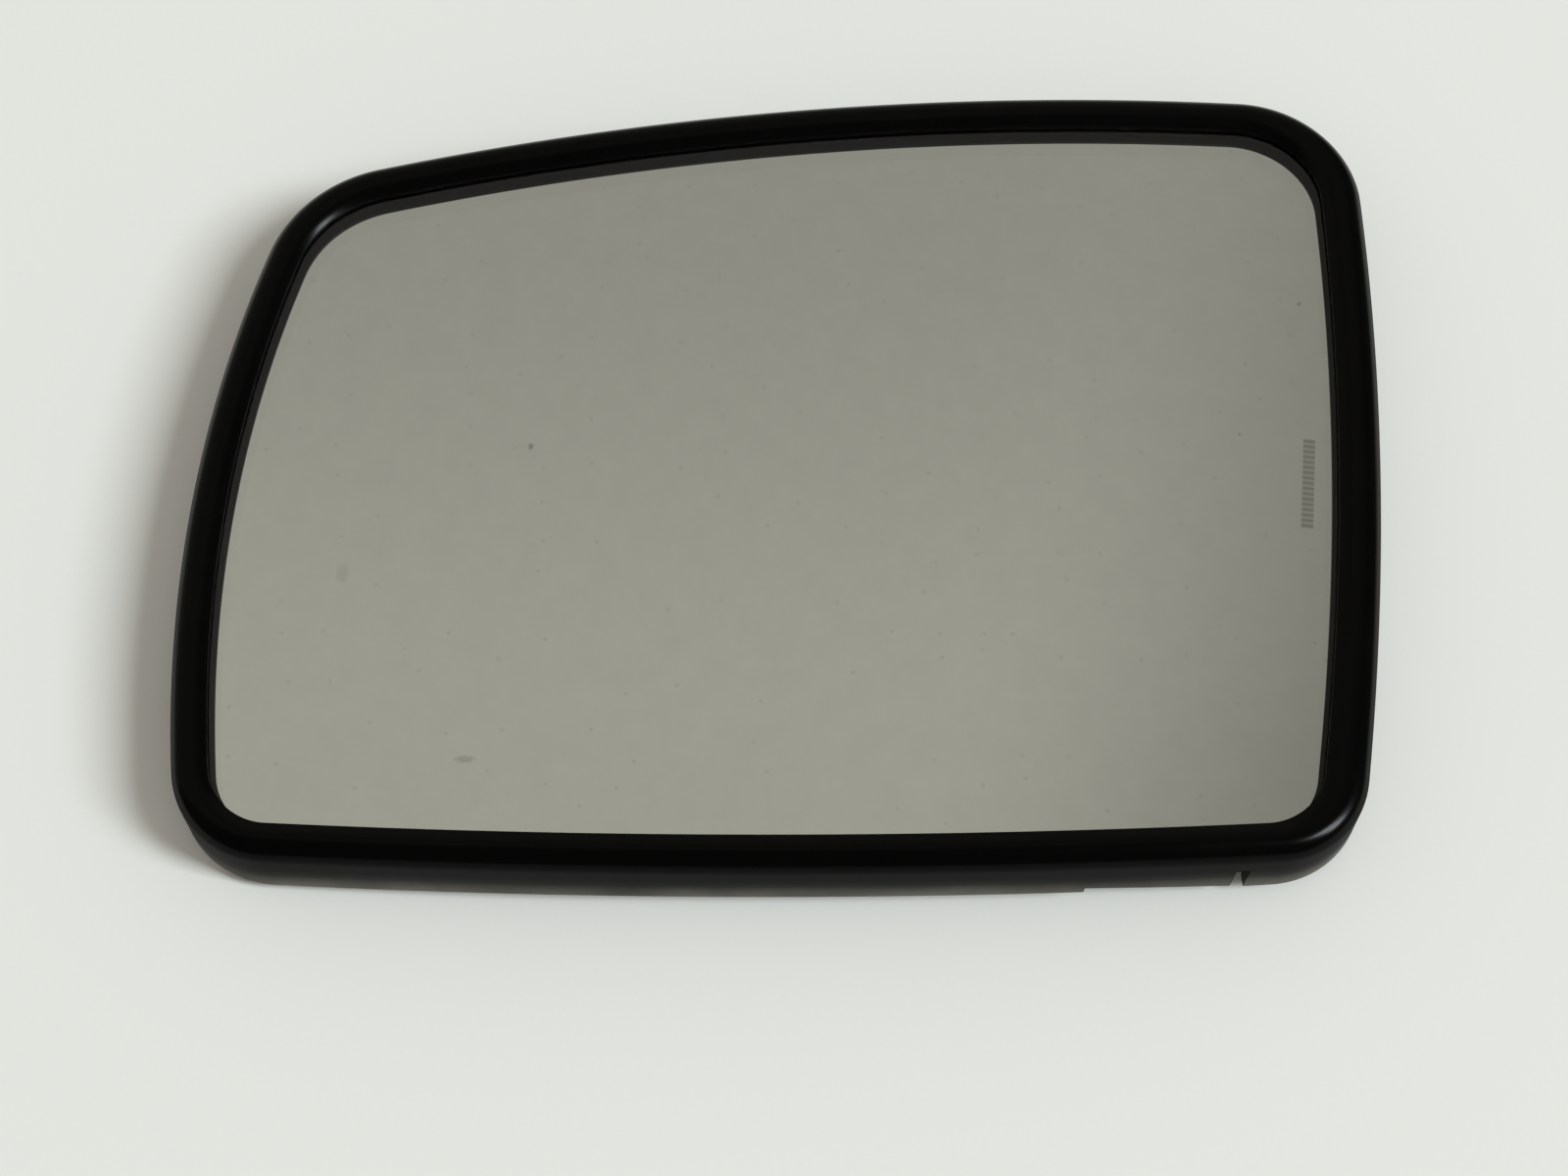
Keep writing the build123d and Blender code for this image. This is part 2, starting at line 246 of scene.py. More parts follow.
def buildRim():
    marks = lowerStations()
    shares = [share for share, _, _ in marks]
    outer, inner = rimStations(False, shares), rimStations(True, shares)
    depths = [0] * len(outer)
    depths[outline["cornerSteps"]:outline["cornerSteps"] + len(marks)] = [depth for _, _, depth in marks]
    crest, edge, wall = layers["crest"], layers["skirtEdge"], rim["wall"]
    r, e, top = rim["outerRound"], rim["edgeRound"], crest - rim["skin"]
    edgeSteps, outerSteps, innerSteps = rim["edgeSteps"], rim["outerSteps"], rim["innerSteps"]
    draft, slopeStart = math.radians(rim["draft"]), math.radians(rim["innerStart"])
    wallAt = lambda radius: rim["skin"] - (crest - radius) * math.tan(draft)
    roundX = rim["skin"] + r / math.cos(draft) - r * math.tan(draft)
    fall = (top - layers["lipUnder"] - rim["land"]) / rim["innerRound"]
    slopeEnd = math.acos(math.cos(slopeStart) - fall)
    slopeX = -rim["innerRound"] * math.sin(slopeEnd)
    slopeY = top - rim["innerRound"] * math.cos(slopeStart)
    verts, paling = [], []
    for station, opened, depth in zip(outer, inner, depths):
        rear = edge + depth
        levels = [max(edge + level, rear + e) for level in rim["levels"]]
        ring = []
        for k in range(edgeSteps + 1):  # rear edge, outer corner
            a = math.radians(270 - 90 * k / edgeSteps)
            ring.append(onSection(station, wallAt(rear) + e + e * math.cos(a), rear + e + e * math.sin(a)))
        ring += [onSection(station, wallAt(radius), radius) for radius in levels]
        for k in range(outerSteps + 1):  # bead, outer round
            a = math.pi - draft - (math.pi / 2 - draft) * k / outerSteps
            ring.append(onSection(station, roundX + r * math.cos(a), top - r + r * math.sin(a)))
        for k in range(innerSteps + 1):  # bead, inner slope
            a = math.pi / 2 - slopeStart - (slopeEnd - slopeStart) * k / innerSteps
            slope = rim["innerRound"] * math.cos(a), rim["innerRound"] * math.sin(a)
            ring.append(onSection(opened, slopeX + slope[0], slopeY + slope[1]))
        lipEdge = len(ring)  # the faces from here on are inside the skirt
        ring.append(onSection(opened, 0, layers["lipUnder"]))
        for radius in [layers["lipUnder"]] + levels[::-1]:
            ring.append(onSection(station, wall + wallAt(radius), radius))
        for k in range(edgeSteps + 1):  # rear edge, inner corner
            a = math.radians(-90 * k / edgeSteps)
            inset = wall + wallAt(rear) - e + e * math.cos(a)
            ring.append(onSection(station, inset, rear + e + e * math.sin(a)))
        count = len(ring)
        verts += ring
        # how much of the paler grey each point of the section takes: most at the rear edge, fading out
        # upwards
        thinned = [max(0.0, 1 - (radius - edge) / rim["palingHeight"]) for radius in [rear] + levels]
        paledRing = [share * thinned[0] for share in rim["rearEdgePaling"]] + thinned[1:]
        paling += paledRing + [0.0] * (count - len(paledRing))
    total = len(outer)
    faces, finishes = [], []
    for i in range(total):
        for j in range(count):
            k, l = (i + 1) % total, (j + 1) % count
            faces.append((i * count + j, k * count + j, k * count + l, i * count + l))
            finishes.append(1 if j >= lipEdge else 0)
    return meshObject("holderRim", verts, faces, sharpAngle=40, paling=paling, finishes=finishes)


# a curved sheet between two layers, with its rim softened by a seam
def sheetMesh(name, inset, frontRadius, backRadius, rings, seam=0):
    turn = inset / layers["crest"]
    ways = [way * math.cos(turn) + inwards * math.sin(turn) for way, inwards in rimStations()]
    drop, up, count = Vector((0, 0, centreZ)), Vector((0, 0, 1)), len(ways)
    verts = [(up * frontRadius + drop) * mm, (up * backRadius + drop) * mm]
    loops = []
    for radius in (frontRadius, backRadius):
        for k in range(1, rings + 1):
            share = k / rings if k < rings else 1 - seam / outline["halfSpan"]
            loops.append(len(verts))
            verts += [(up.lerp(way, share).normalized() * radius + drop) * mm for way in ways]
    rims = []
    for radius in (frontRadius - seam, backRadius + seam) if seam else ():
        rims.append(len(verts))
        verts += [(way * radius + drop) * mm for way in ways]
    faces = []
    for side in range(2):
        base = side * rings
        faces += [(side, loops[base] + i, loops[base] + (i + 1) % count) for i in range(count)]
        for a, b in zip(loops[base:base + rings - 1], loops[base + 1:base + rings]):
            faces += [(a + i, b + i, b + (i + 1) % count, a + (i + 1) % count) for i in range(count)]
    order = [loops[rings - 1], *rims, loops[2 * rings - 1]]
    for a, b in zip(order, order[1:]):
        faces += [(a + i, b + i, b + (i + 1) % count, a + (i + 1) % count) for i in range(count)]
    return meshObject(name, verts, faces, sharpAngle=20)


# the holder's back: plate, ribs, clip ring, collar and terminal window
back = {
    "ribCount": 8, "ribWall": 1.5, "ribHeight": 3.0, "hoopRadius": 46.0,
    "clipRadius": 30.0, "fingerWall": 2.0, "fingerGap": 5.0, "fingerRoot": 1.5, "fingers": 8,
    "hookReach": 1.2, "hookLand": 1.2, "hookCatch": 0.6, "hookLead": 1.4, "tipWidth": 1.2,
    "collarBore": 8.0, "collarWall": 1.8, "collarHeight": 4.0,
    "windowX": 58.0, "window": (14.0, 24.0), "windowCorner": 2.0, "frameWall": 1.2, "frameHeight": 2.0,
    "sunk": 0.5, "plateRings": 34,
    "cutFrom": 8.0, "cutTo": 20.0, "arcSteps": 14, "softEdge": 0.2, "softAngle": 28,
}


def roundedLoop(centreX, width, length, corner, steps=8):
    points = []
    for k, (sx, sy) in enumerate(((1, 1), (-1, 1), (-1, -1), (1, -1))):
        for step in range(steps + 1):
            a = math.pi / 2 * (k + step / steps)
            points.append((centreX + sx * (width / 2 - corner) + corner * math.cos(a),
                           sy * (length / 2 - corner) + corner * math.sin(a)))
    return points


def circleLoop(radius, steps=144):
    turns = [2 * math.pi * k / steps for k in range(steps)]
    return [(radius * math.cos(t), radius * math.sin(t)) for t in turns]


def addPrism(bm, loop, low, high):
    bottom = [bm.verts.new((x * mm, y * mm, low * mm)) for x, y in loop]
    top = [bm.verts.new((x * mm, y * mm, high * mm)) for x, y in loop]
    bm.faces.new(top)
    bm.faces.new(bottom[::-1])
    for i in range(len(loop)):
        j = (i + 1) % len(loop)
        bm.faces.new((bottom[i], bottom[j], top[j], top[i]))


# plate with the window and the slots in front of the hooks cut through
def buildPlate():
    plate = sheetMesh("holderPlate", rim["wall"] / 2, layers["plateFront"], layers["plateBack"],
                      back["plateRings"])
    cutFrom, cutTo, steps = back["cutFrom"], back["cutTo"], back["arcSteps"]
    bm = bmesh.new()
    addPrism(bm, roundedLoop(back["windowX"], *back["window"], back["windowCorner"]), 0, cutTo)
    near, far = back["clipRadius"] - back["hookReach"], back["clipRadius"]
    halfGap = math.asin(back["fingerGap"] / far)
    for k in range(back["fingers"]):
        start = 2 * math.pi * (k - 0.5) / back["fingers"] + halfGap
        end = 2 * math.pi * (k + 0.5) / back["fingers"] - halfGap
        turns = [start + (end - start) * s / steps for s in range(steps + 1)]
        slot = [(far * math.cos(t), far * math.sin(t)) for t in turns]
        slot += [(near * math.cos(t), near * math.sin(t)) for t in reversed(turns)]
        addPrism(bm, slot, cutFrom, cutTo)
    bmesh.ops.recalc_face_normals(bm, faces=bm.faces)
    cutMesh = bpy.data.meshes.new("plateCuts")
    bm.to_mesh(cutMesh)
    bm.free()
    cutter = placeObject("plateCuts", cutMesh)
    cut = plate.modifiers.new("cuts", "BOOLEAN")
    cut.operation, cut.solver, cut.object = "DIFFERENCE", "EXACT", cutter
    bakeModifiers(plate, sharpAngle=30)
    bpy.data.objects.remove(cutter)
    return plate


# geometry nodes: a moulded wall that follows a path on the plate's back
def wallTree(material):
    tree = bpy.data.node_groups.new("mouldedWall", "GeometryNodeTree")
    sizes = {"Wall": 1.5, "Height": 3.0, "Sunk": 0.5, "Edge Round": 0.25, "Step": 1.5,
             "Layer Radius": layers["plateBack"], "Centre": centreZ}
    sockets = {}
    tree.interface.new_socket("Path", in_out="INPUT", socket_type="NodeSocketGeometry")
    for name, value in sizes.items():
        socket = tree.interface.new_socket(name, in_out="INPUT", socket_type="NodeSocketFloat")
        socket.default_value = value * mm
        sockets[name] = socket.identifier
    tree.interface.new_socket("Wall", in_out="OUTPUT", socket_type="NodeSocketGeometry")
    inside = addNode(tree, "NodeGroupInput").outputs
    path = addNode(tree, "GeometryNodeMeshToCurve", links={"Mesh": inside["Path"]}).outputs[0]
    path = addNode(tree, "GeometryNodeResampleCurve", links={"Curve": path, "Length": inside["Step"]},
                   mode="LENGTH").outputs[0]
    # the path drops on to the plate's back, which is part of a sphere
    place = addNode(tree, "GeometryNodeInputPosition").outputs[0]
    flat = addNode(tree, "ShaderNodeVectorMath", {1: (1, 1, 0)}, {0: place}, operation="MULTIPLY").outputs[0]
    away = addNode(tree, "ShaderNodeVectorMath", links={0: flat, 1: flat},
                   operation="DOT_PRODUCT").outputs["Value"]
    radius = inside["Layer Radius"]
    square = addNode(tree, "ShaderNodeMath", links={0: radius, 1: radius}, operation="MULTIPLY").outputs[0]
    rest = addNode(tree, "ShaderNodeMath", links={0: square, 1: away}, operation="SUBTRACT").outputs[0]
    root = addNode(tree, "ShaderNodeMath", links={0: rest}, operation="SQRT").outputs[0]
    level = addNode(tree, "ShaderNodeMath", links={0: root, 1: inside["Centre"]}, operation="ADD").outputs[0]
    lift = addNode(tree, "ShaderNodeCombineXYZ", links={"Z": level}).outputs[0]
    spot = addNode(tree, "ShaderNodeVectorMath", links={0: flat, 1: lift}, operation="ADD").outputs[0]
    path = addNode(tree, "GeometryNodeSetPosition", links={"Geometry": path, "Position": spot}).outputs[0]
    path = addNode(tree, "GeometryNodeSetCurveNormal", links={"Curve": path}, mode="Z_UP").outputs[0]
    # its section stands on the plate and is sunk into it a little
    tall = addNode(tree, "ShaderNodeMath", links={0: inside["Height"], 1: inside["Sunk"]},
                   operation="ADD").outputs[0]
    section = addNode(tree, "GeometryNodeCurvePrimitiveQuadrilateral",
                      links={"Width": inside["Wall"], "Height": tall}).outputs[0]
    section = addNode(tree, "GeometryNodeFilletCurve", {"Count": 3},
                      {"Curve": section, "Radius": inside["Edge Round"]}, mode="POLY").outputs[0]
    gap = addNode(tree, "ShaderNodeMath", links={0: inside["Height"], 1: inside["Sunk"]},
                  operation="SUBTRACT").outputs[0]
    half = addNode(tree, "ShaderNodeMath", {1: 0.5}, {0: gap}, operation="MULTIPLY").outputs[0]
    shift = addNode(tree, "ShaderNodeCombineXYZ", links={"Y": half}).outputs[0]
    section = addNode(tree, "GeometryNodeTransform",
                      links={"Geometry": section, "Translation": shift}).outputs[0]
    wall = addNode(tree, "GeometryNodeCurveToMesh", {"Fill Caps": True},
                   {"Curve": path, "Profile Curve": section}).outputs[0]
    wall = addNode(tree, "GeometryNodeRealizeInstances", links={0: wall}).outputs[0]
    wall = addNode(tree, "GeometryNodeSetMaterial", {"Material": material}, {0: wall}).outputs[0]
    addNode(tree, "NodeGroupOutput", links={0: wall})
    return tree, sockets


def buildWall(name, wallNodes, loops, closed, wall, height):
    tree, sockets = wallNodes
    verts, edges = [], []
    for loop in loops:
        base = len(verts)
        verts += [(x * mm, y * mm, 0) for x, y in loop]
        edges += [(base + i, base + i + 1) for i in range(len(loop) - 1)]
        if closed:
            edges.append((base + len(loop) - 1, base))
    mesh = bpy.data.meshes.new(name)
    mesh.from_pydata(verts, edges, [])
    obj = placeObject(name, mesh)
    modifier = obj.modifiers.new("wall", "NODES")
    modifier.node_group = tree
    modifier[sockets["Wall"]] = wall * mm
    modifier[sockets["Height"]] = height * mm
    modifier[sockets["Sunk"]] = back["sunk"] * mm
    return bakeModifiers(obj, sharpAngle=40)


# a radial rib's path, from the clip ring to the middle of the skirt's wall
def ribPath(angle):
    wayAngle = lambda station: math.atan2(station[0].y, station[0].x)
    nearest = min(rimStations(), key=lambda s: abs(math.remainder(wayAngle(s) - angle, 2 * math.pi)))
    reach = math.hypot(nearest[0].x, nearest[0].y) * layers["plateBack"] - rim["wall"] / 2
    start = back["clipRadius"] + back["fingerWall"] / 2
    return [(r * math.cos(angle), r * math.sin(angle)) for r in (start, reach)]


# one spring finger with its hook, as a stretch of a revolved section
def fingerMesh():
    near, far = back["clipRadius"], back["clipRadius"] + back["fingerWall"]
    hook, top = near - back["hookReach"], plateZ + back["sunk"]
    lead, land, catch = back["hookLead"], back["hookLand"], back["hookCatch"]
    section = [(near, top), (far, top), (far, 0), (far - back["tipWidth"], 0),
               (hook, lead), (hook, lead + land), (near, lead + land + catch)]
    half = math.pi / back["fingers"]
    verts, faces, steps, count = [], [], back["arcSteps"], len(section)
    for k in range(steps + 1):
        for radius, z in section:
            trim = math.asin(back["fingerGap"] / 2 / radius)
            a = (half - trim) * (2 * k / steps - 1)
            verts.append(Vector((radius * math.cos(a), radius * math.sin(a), z)) * mm)
    for k in range(steps):
        for j in range(count):
            a, b, step = k * count + j, k * count + (j + 1) % count, count
            faces.append((a, b, b + step, a + step))
    faces += [tuple(range(count)), tuple(range(steps * count, (steps + 1) * count))]
    return meshObject("clipFinger", verts, faces, sharpAngle=30)


# geometry nodes: the finger repeated round the axis
def buildFingers(material):
    tree = bpy.data.node_groups.new("fingerRing", "GeometryNodeTree")
    tree.interface.new_socket("Finger", in_out="INPUT", socket_type="NodeSocketGeometry")
    countSocket = tree.interface.new_socket("Count", in_out="INPUT", socket_type="NodeSocketInt")
    countSocket.default_value = back["fingers"]
    tree.interface.new_socket("Ring", in_out="OUTPUT", socket_type="NodeSocketGeometry")
    inside = addNode(tree, "NodeGroupInput").outputs
    points = addNode(tree, "GeometryNodePoints", links={"Count": inside["Count"]}).outputs[0]
    index = addNode(tree, "GeometryNodeInputIndex").outputs[0]
    share = addNode(tree, "ShaderNodeMath", links={0: index, 1: inside["Count"]},
                    operation="DIVIDE").outputs[0]
    turn = addNode(tree, "ShaderNodeMath", {1: 2 * math.pi}, {0: share}, operation="MULTIPLY").outputs[0]
    spin = addNode(tree, "ShaderNodeCombineXYZ", links={"Z": turn}).outputs[0]
    ring = addNode(tree, "GeometryNodeInstanceOnPoints",
                   links={"Points": points, "Instance": inside["Finger"], "Rotation": spin}).outputs[0]
    ring = addNode(tree, "GeometryNodeRealizeInstances", links={0: ring}).outputs[0]
    ring = addNode(tree, "GeometryNodeSetMaterial", {"Material": material}, {0: ring}).outputs[0]
    addNode(tree, "NodeGroupOutput", links={0: ring})
    finger = fingerMesh()
    soften = finger.modifiers.new("softEdges", "BEVEL")
    soften.width, soften.segments = back["softEdge"] * mm, 2
    soften.limit_method, soften.angle_limit = "ANGLE", math.radians(back["softAngle"])
    bakeModifiers(finger, sharpAngle=40)
    repeat = finger.modifiers.new("repeat", "NODES")
    repeat.node_group = tree
    repeat[countSocket.identifier] = back["fingers"]
    return bakeModifiers(finger, sharpAngle=40)


# ABS, injection moulded in black: the bead is satin from a polished tool, the skirt and the back are
# dull from an eroded one, so only the bead shows clear highlights
plastic = {
    # the last colour is the paler grey that the skirt takes on towards its rear edge
    "black": ("#020202", "#040403"), "backBlack": ("#1a1a19", "#222120"), "paling": "#8a8880",
    "beadRough": (0.175, 0.22), "skirtRough": 0.62, "specular": 0.10, "ior": 1.46,
    "grain": 0.4, "patches": 15.0,  # the grain is coarser than the real grit, so that it shows
    "grainDepth": 0.03, "grainShow": (0.3, 0.08),  # how much of it shows on the skirt and on the bead
    "beadFrom": (1400.4, 1400.9),  # radius from the centre of curvature at which the polish starts
}


def mouldedBlack(name, blacks):
    material, tree = newMaterial(name)
    where = addNode(tree, "ShaderNodeTexCoord").outputs["Object"]
    centre = (0, 0, centreZ * mm)
    radius = addNode(tree, "ShaderNodeVectorMath", {1: centre}, {0: where},
                     operation="DISTANCE").outputs["Value"]
    low, high = plastic["beadFrom"]
    bead = addNode(tree, "ShaderNodeMapRange", {"From Min": low * mm, "From Max": high * mm},
                   {"Value": radius}).outputs[0]
    grain = addNode(tree, "ShaderNodeTexNoise", {"Scale": 1 / (plastic["grain"] * mm), "Detail": 3.0},
                    {"Vector": where}).outputs["Fac"]
    patch = addNode(tree, "ShaderNodeTexNoise", {"Scale": 1 / (plastic["patches"] * mm), "Detail": 4.0},
                    {"Vector": where}).outputs["Fac"]
    low, high = plastic["beadRough"]
    polish = addNode(tree, "ShaderNodeMapRange",
                     {"From Min": 0.3, "From Max": 0.7, "To Min": low, "To Max": high},
                     {"Value": patch}).outputs[0]
    rough = addNode(tree, "ShaderNodeMix", {2: plastic["skirtRough"]}, {0: bead, 3: polish}).outputs[0]
    dark, pale = [linearColour(text) for text in blacks]
    tint = addNode(tree, "ShaderNodeMix", {6: dark, 7: pale}, {0: patch}, data_type="RGBA").outputs[2]
    # the skirt turns a paler grey towards its rear edge, in patches, by the share stored on the rim's points
    paleShare = addNode(tree, "ShaderNodeAttribute", attribute_name="rearEdgePaling").outputs["Fac"]
    paleShare = addNode(tree, "ShaderNodeMath", links={0: paleShare, 1: patch}, operation="MULTIPLY").outputs[0]
    tint = addNode(tree, "ShaderNodeMix", {7: linearColour(plastic["paling"])}, {0: paleShare, 6: tint},
                   data_type="RGBA").outputs[2]
    low, high = plastic["grainShow"]
    depth = addNode(tree, "ShaderNodeMapRange", {"To Min": low, "To Max": high}, {"Value": bead}).outputs[0]
    bump = addNode(tree, "ShaderNodeBump", {"Distance": plastic["grainDepth"] * mm},
                   {"Height": grain, "Strength": depth}).outputs[0]
    shader = addNode(tree, "ShaderNodeBsdfPrincipled",
                     {"IOR": plastic["ior"], "Specular IOR Level": plastic["specular"]},
                     {"Base Color": tint, "Roughness": rough, "Normal": bump})
    addNode(tree, "ShaderNodeOutputMaterial", links={"Surface": shader.outputs[0]})
    return material


rimBlack = mouldedBlack("satin_black_abs", plastic["black"])
backBlack = mouldedBlack("eroded_black_abs", plastic["backBlack"])
wallNodes = wallTree(backBlack)
ribAngles = [2 * math.pi * (k + 0.5) / back["ribCount"] for k in range(back["ribCount"])]
clipLoop = circleLoop(back["clipRadius"] + back["fingerWall"] / 2)
collarLoop = circleLoop(back["collarBore"] + back["collarWall"] / 2)
frameLoop = roundedLoop(back["windowX"], *[side + back["frameWall"] for side in back["window"]],
                        back["windowCorner"] + back["frameWall"] / 2)
ribSize = back["ribWall"], back["ribHeight"]
holderParts = [
    buildRim(),
    buildPlate(),
    buildWall("radialRibs", wallNodes, [ribPath(a) for a in ribAngles], False, *ribSize),
    buildWall("hoopRib", wallNodes, [circleLoop(back["hoopRadius"])], True, *ribSize),
    buildWall("clipRoot", wallNodes, [clipLoop], True, back["fingerWall"], back["fingerRoot"]),
    buildWall("collar", wallNodes, [collarLoop], True, back["collarWall"], back["collarHeight"]),
    buildWall("windowFrame", wallNodes, [frameLoop], True, back["frameWall"], back["frameHeight"]),
    buildFingers(backBlack),
]
for part in holderParts[1:]:
    part.data.polygons.foreach_set("material_index", [1] * len(part.data.polygons))
holder = joinObjects("holderMoulding", holderParts)
holder.data.materials.append(rimBlack)
holder.data.materials.append(backBlack)
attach(holder, "root")
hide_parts("mirror_holder")
print("holder built:", len(holder.data.polygons), "faces")


# convex glass, with what its back shows
mirror = {
    "inset": 2.6, "seam": 0.3, "rings": 48, "clear": "#fbfdfa", "silver": "#eeeee9", "worn": "#2c2b28",
    # place, half width and half height, how dark
    "specks": [((-43.9, 2.0), (0.55, 0.8), 0.45), ((87.5, 31.3), (0.45, 0.45), 0.4),
               ((75.0, 5.0), (0.35, 0.35), 0.3), ((-52.2, -53.6), (2.0, 0.8), 0.26),
               ((-73.9, -20.9), (1.4, 2.2), 0.12)],
    "ticks": {"start": (84.95, -12.4), "end": (86.8, 4.5), "halfWidth": 1.0, "soft": 0.15,
              "count": 17, "dark": (0.2, 0.43)},
    "speckEdge": {"scale": 2.2, "ragged": 0.9, "full": 0.75, "gone": 1.6},
    "haze": {"size": 6.0, "dark": 0.045, "from": 0.35, "full": 0.75},
    "dots": {"spacing": 7.0, "radius": 0.4, "dark": 0.09, "share": 0.4},  # fine dust, in this share of cells
}


# clear float glass: only its gloss and its thickness show
def floatGlass():
    material, tree = newMaterial("clear_float_glass")
    shader = addNode(tree, "ShaderNodeBsdfPrincipled", {"Base Color": linearColour(mirror["clear"]),
                     "Roughness": 0.0, "IOR": 1.52, "Transmission Weight": 1.0})
    addNode(tree, "ShaderNodeOutputMaterial", links={"Surface": shader.outputs[0]})
    return material


# silvering on the glass's back face: a bright, faintly warm metal film with the specks, the haze and
# the fine dust of use, and a plain row of fine etched ticks at the inboard edge
def mirrorSilver():
    material, tree = newMaterial("mirror_silvering")
    where = addNode(tree, "ShaderNodeTexCoord").outputs["Object"]
    inMm = addNode(tree, "ShaderNodeVectorMath", {1: (1 / mm, 1 / mm, 0)}, {0: where},
                   operation="MULTIPLY").outputs[0]
    speckEdge = mirror["speckEdge"]
    ragged = addNode(tree, "ShaderNodeTexNoise", {"Scale": speckEdge["scale"], "Detail": 3.0},
                     {"Vector": inMm}).outputs["Fac"]
    marks = []
    for (x, y), (halfX, halfY), dark in mirror["specks"]:
        offset = addNode(tree, "ShaderNodeVectorMath", {1: (x, y, 0)}, {0: inMm},
                         operation="SUBTRACT").outputs[0]
        scaled = addNode(tree, "ShaderNodeVectorMath", {1: (1 / halfX, 1 / halfY, 0)}, {0: offset},
                         operation="MULTIPLY").outputs[0]
        away = addNode(tree, "ShaderNodeVectorMath", links={0: scaled}, operation="LENGTH").outputs["Value"]
        uneven = addNode(tree, "ShaderNodeMath", {1: speckEdge["ragged"]}, {0: ragged, 2: away},
                         operation="MULTIPLY_ADD").outputs[0]
        marks.append(addNode(tree, "ShaderNodeMapRange", {"From Min": speckEdge["full"],
                     "From Max": speckEdge["gone"], "To Min": dark, "To Max": 0.0},
                     {"Value": uneven}, interpolation_type="SMOOTHSTEP").outputs[0])
    haze, dots = mirror["haze"], mirror["dots"]
    cloud = addNode(tree, "ShaderNodeTexNoise", {"Scale": 1 / haze["size"], "Detail": 5.0, "Roughness": 0.65},
                    {"Vector": inMm}).outputs["Fac"]
    marks.append(addNode(tree, "ShaderNodeMapRange",
                         {"From Min": haze["from"], "From Max": haze["full"], "To Max": haze["dark"]},
                         {"Value": cloud}).outputs[0])
    cells = addNode(tree, "ShaderNodeTexVoronoi", {"Scale": 1 / dots["spacing"]}, {"Vector": inMm},
                    voronoi_dimensions="2D").outputs
    size = dots["radius"] / dots["spacing"]
    dot = addNode(tree, "ShaderNodeMapRange", {"From Min": size * 0.6, "From Max": size * 1.2,
                  "To Min": dots["dark"], "To Max": 0.0}, {"Value": cells["Distance"]}).outputs[0]
    draw = addNode(tree, "ShaderNodeSeparateColor", links={0: cells["Color"]}).outputs[0]
    kept = addNode(tree, "ShaderNodeMath", {1: dots["share"]}, {0: draw}, operation="LESS_THAN").outputs[0]
    marks.append(addNode(tree, "ShaderNodeMath", links={0: dot, 1: kept}, operation="MULTIPLY").outputs[0])
    # ticks: distance along and across their row
    ticks = mirror["ticks"]
    start, end = Vector((*ticks["start"], 0)), Vector((*ticks["end"], 0))
    along, middle = (end - start).normalized(), (end - start).length / 2
    across = Vector((along.y, -along.x, 0))
    offset = addNode(tree, "ShaderNodeVectorMath", {1: (start + end) / 2}, {0: inMm},
                     operation="SUBTRACT").outputs[0]
    reach, side = [addNode(tree, "ShaderNodeVectorMath", {1: way}, {0: offset},
                           operation="DOT_PRODUCT").outputs["Value"] for way in (along, across)]
    turns = math.pi * ticks["count"] / middle
    wave = addNode(tree, "ShaderNodeMath", {1: turns}, {0: reach}, operation="MULTIPLY").outputs[0]
    wave = addNode(tree, "ShaderNodeMath", links={0: wave}, operation="COSINE").outputs[0]
    low, high = ticks["dark"]
    mark = addNode(tree, "ShaderNodeMapRange",
                   {"From Min": -0.3, "From Max": 0.3, "To Min": low, "To Max": high},
                   {"Value": wave}).outputs[0]
    for value, limit in ((side, ticks["halfWidth"]), (reach, middle)):
        value = addNode(tree, "ShaderNodeMath", links={0: value}, operation="ABSOLUTE").outputs[0]
        within = addNode(tree, "ShaderNodeMapRange", {"From Min": limit - ticks["soft"],
                         "From Max": limit + ticks["soft"], "To Min": 1.0, "To Max": 0.0},
                         {"Value": value}).outputs[0]
        mark = addNode(tree, "ShaderNodeMath", links={0: mark, 1: within}, operation="MULTIPLY").outputs[0]
    for spot in marks:
        mark = addNode(tree, "ShaderNodeMath", links={0: mark, 1: spot}, operation="MAXIMUM").outputs[0]
    silver, worn = linearColour(mirror["silver"]), linearColour(mirror["worn"])
    tint = addNode(tree, "ShaderNodeMix", {6: silver, 7: worn}, {0: mark}, data_type="RGBA").outputs[2]
    shader = addNode(tree, "ShaderNodeBsdfPrincipled", {"Metallic": 1.0, "Roughness": 0.02},
                     {"Base Color": tint})
    addNode(tree, "ShaderNodeOutputMaterial", links={"Surface": shader.outputs[0]})
    return material


glass = sheetMesh("mirrorGlass", mirror["inset"], layers["glassFront"], layers["glassBack"], mirror["rings"],
                  mirror["seam"])
glass.data.materials.append(floatGlass())
glass.data.materials.append(mirrorSilver())
for polygon in glass.data.polygons:  # only the back face is silvered
    polygon.material_index = 1 if polygon.normal.z < -0.9 else 0
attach(glass, "root")
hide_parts("mirror_glass")
print("glass built:", len(glass.data.polygons), "faces")


heater = {"film": ("#34353a", "#3f4045"), "ripple": 4.0, "rippleDepth": 0.1, "rough": 0.42}


